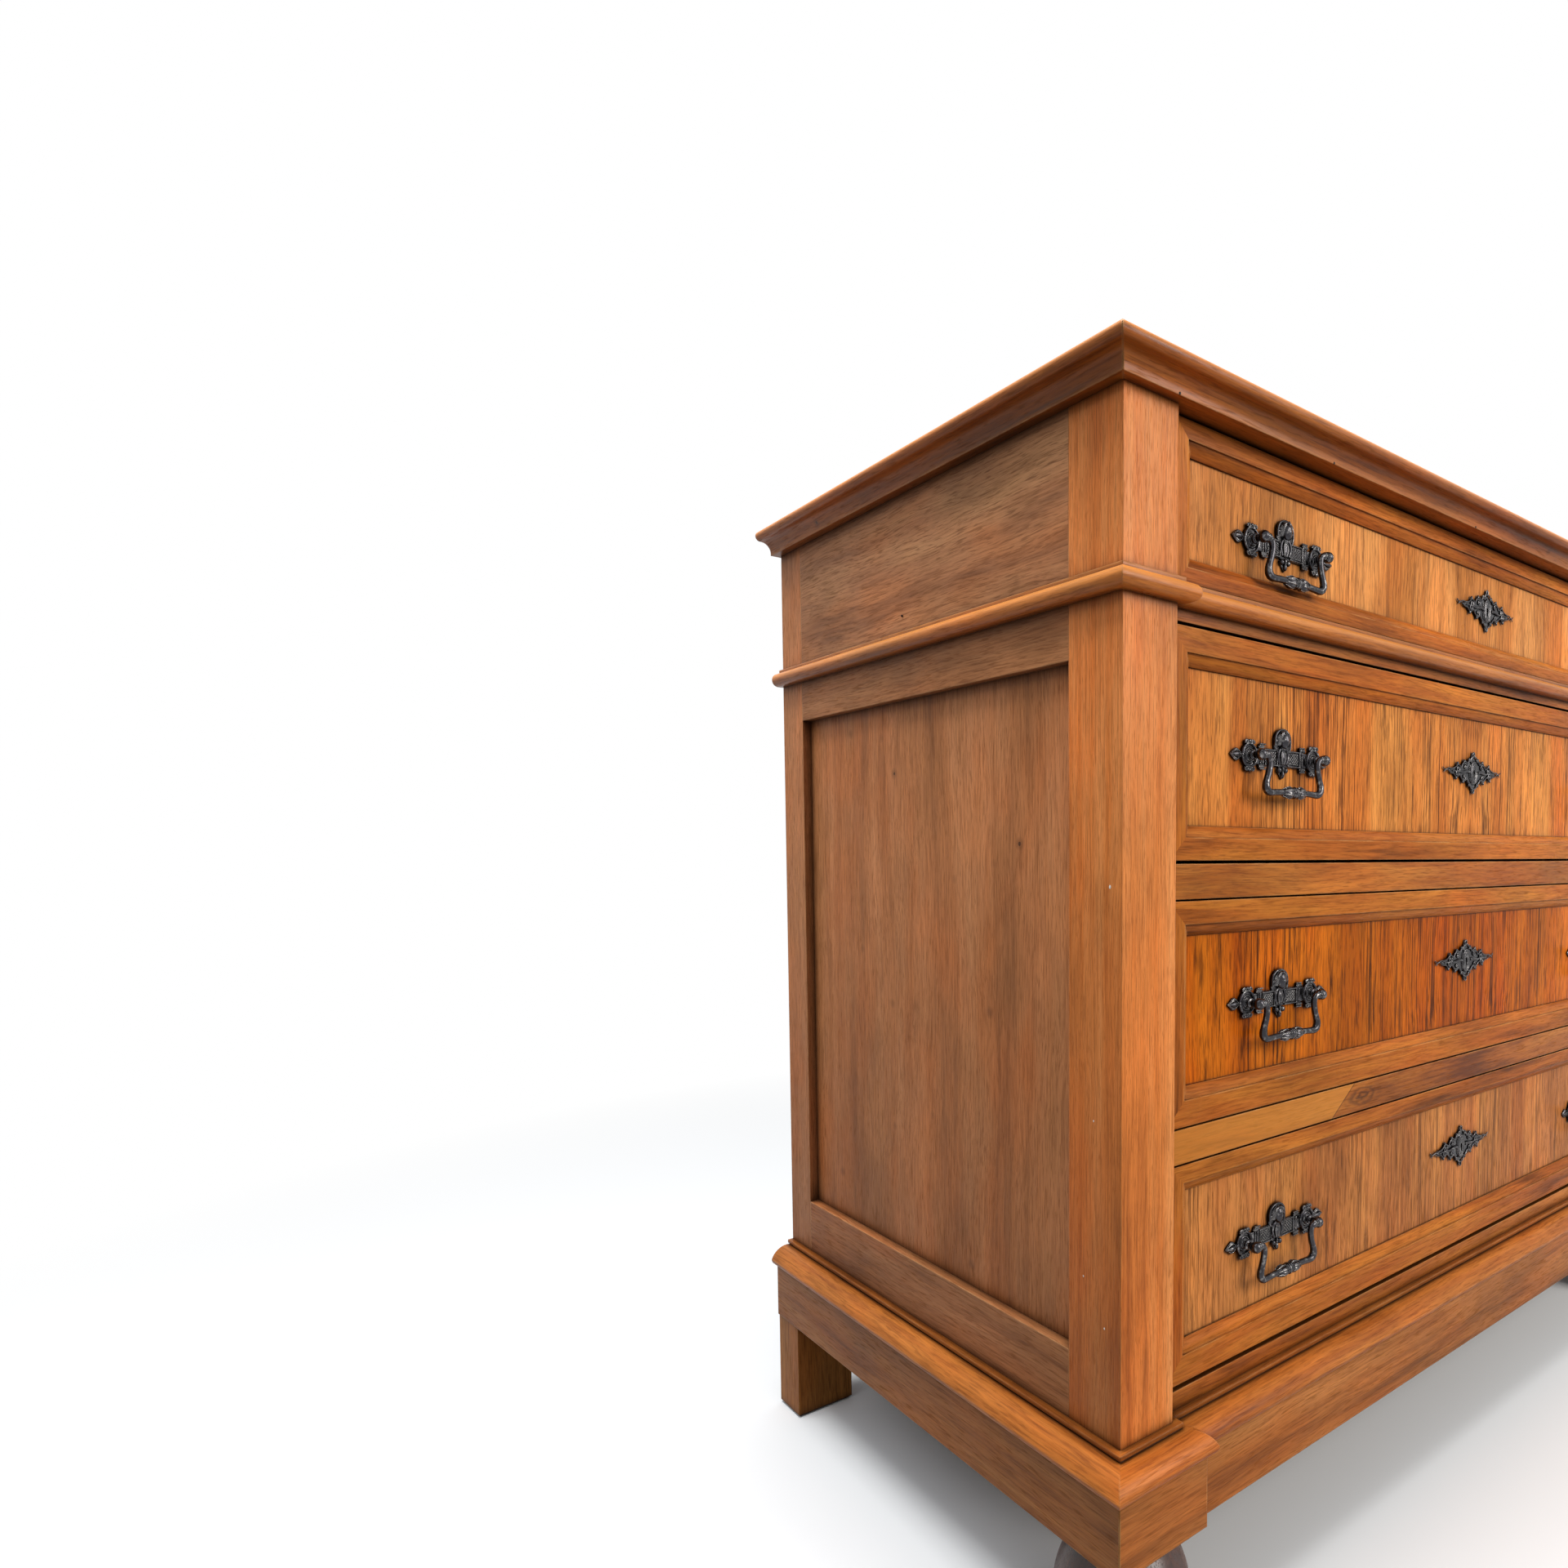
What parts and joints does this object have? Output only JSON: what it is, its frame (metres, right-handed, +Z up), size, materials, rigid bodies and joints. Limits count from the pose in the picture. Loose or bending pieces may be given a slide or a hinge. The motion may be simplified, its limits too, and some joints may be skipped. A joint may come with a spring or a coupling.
{
  "type": "chest of drawers",
  "caption": "Walnut chest of drawers with a break-front plinth and waist moulding, bun front feet, panelled sides and cast bail pulls.",
  "frame": {"origin": "middle of the footprint on the floor", "axes": "+X along the width to the right, +Y to the back, +Z up; drawers open towards -Y"},
  "size_m": [1.109, 0.5634, 0.96],
  "materials": {
    "post_wood": "waxed solid walnut",
    "side_wood": "worn waxed walnut",
    "frieze_wood": "worn waxed walnut",
    "drawer_veneer": "figured walnut veneer, waxed",
    "moulding_wood": "waxed moulded walnut",
    "cornice_wood": "waxed moulded walnut",
    "plinth_wood": "waxed walnut",
    "top_wood": "waxed walnut",
    "ebonised_wood": "dark stained, satin",
    "rear_foot_wood": "dark stained",
    "secondary_wood": "bare pine",
    "lock_iron": "aged iron",
    "pull_metal": "dark patinated casting"
  },
  "bodies": {
    "carcass": {"top_board": "top_wood", "cornice_front": "cornice_wood", "cornice_sides": "cornice_wood", "front_posts": "post_wood", "rear_posts": "side_wood", "side_frieze_boards": "frieze_wood", "side_rails": "side_wood", "side_panels": "side_wood", "waist_moulding": "moulding_wood", "drawer_rails": "post_wood", "bottom_rail": "post_wood", "plinth_front": "plinth_wood", "plinth_corner_blocks": "plinth_wood", "plinth_sides": "plinth_wood", "plinth_cap": "moulding_wood", "bun_feet": "ebonised_wood", "rear_feet": "rear_foot_wood", "back_boards": "secondary_wood", "drawer_runners": "secondary_wood"},
    "drawer_1": {"drawer_1_front": "drawer_veneer", "drawer_1_sides": "secondary_wood", "drawer_1_back": "secondary_wood", "drawer_1_bottom": "secondary_wood", "drawer_1_lock": "lock_iron", "drawer_1_handle_plates": "pull_metal", "drawer_1_escutcheon": "pull_metal"},
    "bolt_1": {"drawer_1_bolt": "lock_iron"},
    "bail_1_left": {"drawer_1_bail_left": "pull_metal"},
    "bail_1_right": {"drawer_1_bail_right": "pull_metal"},
    "drawer_2": {"drawer_2_front": "drawer_veneer", "drawer_2_sides": "secondary_wood", "drawer_2_back": "secondary_wood", "drawer_2_bottom": "secondary_wood", "drawer_2_lock": "lock_iron", "drawer_2_handle_plates": "pull_metal", "drawer_2_escutcheon": "pull_metal"},
    "bolt_2": {"drawer_2_bolt": "lock_iron"},
    "bail_2_left": {"drawer_2_bail_left": "pull_metal"},
    "bail_2_right": {"drawer_2_bail_right": "pull_metal"},
    "drawer_3": {"drawer_3_front": "drawer_veneer", "drawer_3_sides": "secondary_wood", "drawer_3_back": "secondary_wood", "drawer_3_bottom": "secondary_wood", "drawer_3_lock": "lock_iron", "drawer_3_handle_plates": "pull_metal", "drawer_3_escutcheon": "pull_metal"},
    "bolt_3": {"drawer_3_bolt": "lock_iron"},
    "bail_3_left": {"drawer_3_bail_left": "pull_metal"},
    "bail_3_right": {"drawer_3_bail_right": "pull_metal"},
    "drawer_4": {"drawer_4_front": "drawer_veneer", "drawer_4_sides": "secondary_wood", "drawer_4_back": "secondary_wood", "drawer_4_bottom": "secondary_wood", "drawer_4_lock": "lock_iron", "drawer_4_handle_plates": "pull_metal", "drawer_4_escutcheon": "pull_metal"},
    "bolt_4": {"drawer_4_bolt": "lock_iron"},
    "bail_4_left": {"drawer_4_bail_left": "pull_metal"},
    "bail_4_right": {"drawer_4_bail_right": "pull_metal"}
  },
  "joints": [
    {"name": "drawer_1_slide", "type": "slide", "parent": "carcass", "child": "drawer_1", "axis": [0, -1, 0], "range_m": [0, 0.36]},
    {"name": "bolt_1_throw", "type": "slide", "parent": "drawer_1", "child": "bolt_1", "axis": [0, 0, 1], "range_m": [0, 0.007]},
    {"name": "bail_1_left_swing", "type": "hinge", "parent": "drawer_1", "child": "bail_1_left", "pos_m": [-0.3246, -0.25075, 0.86725], "axis": [-1, 0, 0], "range_deg": [-4, 110]},
    {"name": "bail_1_right_swing", "type": "hinge", "parent": "drawer_1", "child": "bail_1_right", "pos_m": [0.3246, -0.25075, 0.86725], "axis": [-1, 0, 0], "range_deg": [-4, 110]},
    {"name": "drawer_2_slide", "type": "slide", "parent": "carcass", "child": "drawer_2", "axis": [0, -1, 0], "range_m": [0, 0.36]},
    {"name": "bolt_2_throw", "type": "slide", "parent": "drawer_2", "child": "bolt_2", "axis": [0, 0, 1], "range_m": [0, 0.007]},
    {"name": "bail_2_left_swing", "type": "hinge", "parent": "drawer_2", "child": "bail_2_left", "pos_m": [-0.3246, -0.25075, 0.69575], "axis": [-1, 0, 0], "range_deg": [-15, 110]},
    {"name": "bail_2_right_swing", "type": "hinge", "parent": "drawer_2", "child": "bail_2_right", "pos_m": [0.3246, -0.25075, 0.69575], "axis": [-1, 0, 0], "range_deg": [-15, 110]},
    {"name": "drawer_3_slide", "type": "slide", "parent": "carcass", "child": "drawer_3", "axis": [0, -1, 0], "range_m": [0, 0.36]},
    {"name": "bolt_3_throw", "type": "slide", "parent": "drawer_3", "child": "bolt_3", "axis": [0, 0, 1], "range_m": [0, 0.007]},
    {"name": "bail_3_left_swing", "type": "hinge", "parent": "drawer_3", "child": "bail_3_left", "pos_m": [-0.3246, -0.25075, 0.49325], "axis": [-1, 0, 0], "range_deg": [-15, 110]},
    {"name": "bail_3_right_swing", "type": "hinge", "parent": "drawer_3", "child": "bail_3_right", "pos_m": [0.3246, -0.25075, 0.49325], "axis": [-1, 0, 0], "range_deg": [-15, 110]},
    {"name": "drawer_4_slide", "type": "slide", "parent": "carcass", "child": "drawer_4", "axis": [0, -1, 0], "range_m": [0, 0.36]},
    {"name": "bolt_4_throw", "type": "slide", "parent": "drawer_4", "child": "bolt_4", "axis": [0, 0, 1], "range_m": [0, 0.007]},
    {"name": "bail_4_left_swing", "type": "hinge", "parent": "drawer_4", "child": "bail_4_left", "pos_m": [-0.3246, -0.25075, 0.29], "axis": [-1, 0, 0], "range_deg": [-15, 110]},
    {"name": "bail_4_right_swing", "type": "hinge", "parent": "drawer_4", "child": "bail_4_right", "pos_m": [0.3246, -0.25075, 0.29], "axis": [-1, 0, 0], "range_deg": [-15, 110]}
  ]
}
